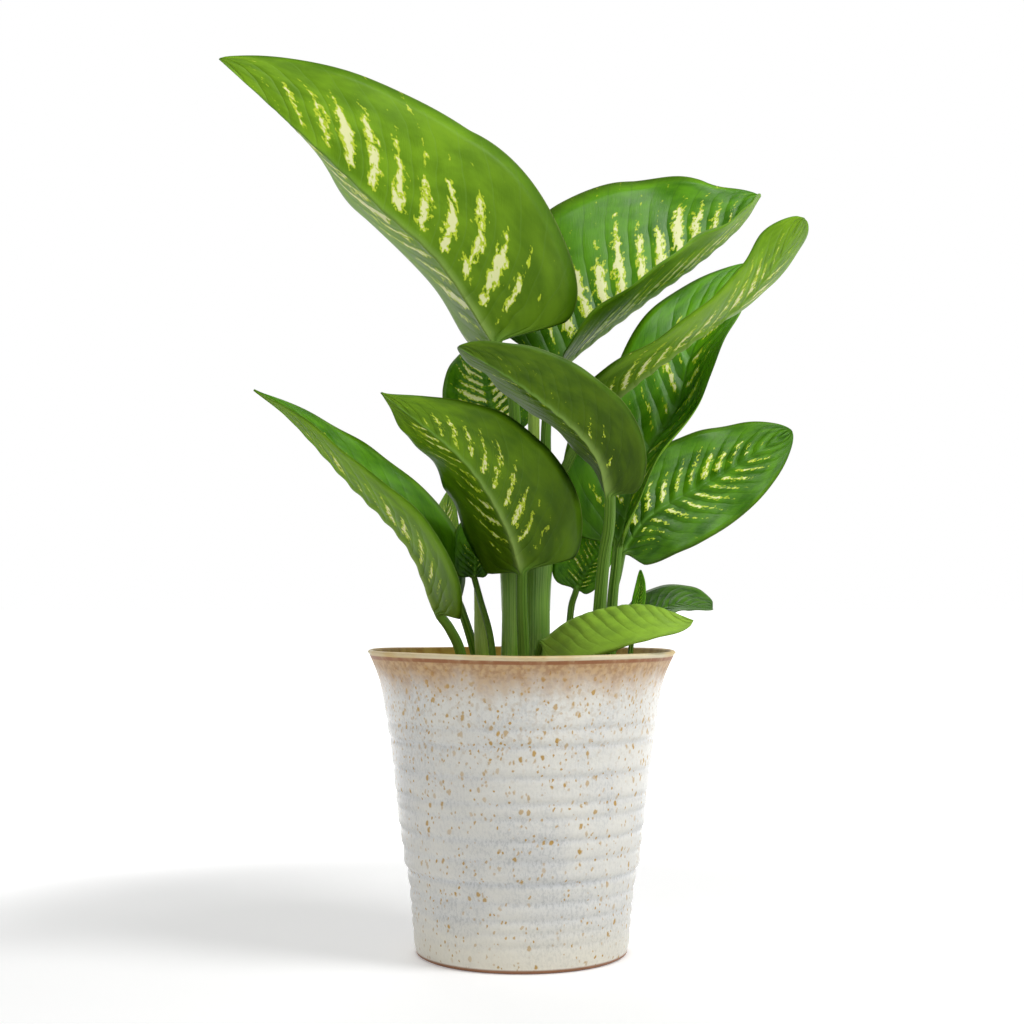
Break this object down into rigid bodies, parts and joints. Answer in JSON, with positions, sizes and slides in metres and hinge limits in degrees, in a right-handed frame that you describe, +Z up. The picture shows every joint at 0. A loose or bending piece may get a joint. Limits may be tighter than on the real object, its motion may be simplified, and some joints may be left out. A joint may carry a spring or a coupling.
{
  "type": "potted dieffenbachia",
  "caption": "Leafy dieffenbachia houseplant with variegated blades on sheathed stalks, growing from soil in a thrown stoneware pot that stands on its flat base.",
  "frame": {"origin": "centre of the pot's flat base, on the surface that it stands on", "axes": "+Z up along the pot's turning axis; the tall leaf leans towards -X and -Y, which is the front"},
  "size_m": [0.2787, 0.1803, 0.4193],
  "materials": {
    "glazed_stoneware": "glossy speckled off-white glaze with a sand-brown lip",
    "potting_soil": "crumbly dark potting mix",
    "cane_green": "smooth green stem, faintly striped",
    "pale_shoot_green": "satin pale yellow-green young growth",
    "leaf_green": "glossy deep green with cream-yellow streaks along the side veins",
    "leaf_green_underside": "satin mid-green underside with a pale raised rib"
  },
  "bodies": {
    "root": {"pot": "glazed_stoneware", "soil": "potting_soil", "cane_left": "cane_green", "cane_right": "cane_green", "cane_side": "pale_shoot_green", "new_leaf_spear": "pale_shoot_green", "leaf_tall_left": "leaf_green_underside", "leaf_upper_right": "leaf_green", "leaf_front_sickle": "leaf_green_underside", "leaf_front_centre": "leaf_green_underside", "leaf_long_right": "leaf_green_underside", "leaf_broad_right": "leaf_green", "leaf_back_right": "leaf_green", "leaf_low_left": "leaf_green_underside", "leaf_young_left": "pale_shoot_green", "leaf_inner_left": "leaf_green", "leaf_back_centre": "leaf_green", "leaf_inner_right": "leaf_green", "leaf_over_rim": "leaf_green_underside", "leaf_rim_back": "leaf_green", "sprout_right": "leaf_green"}
  },
  "joints": []
}
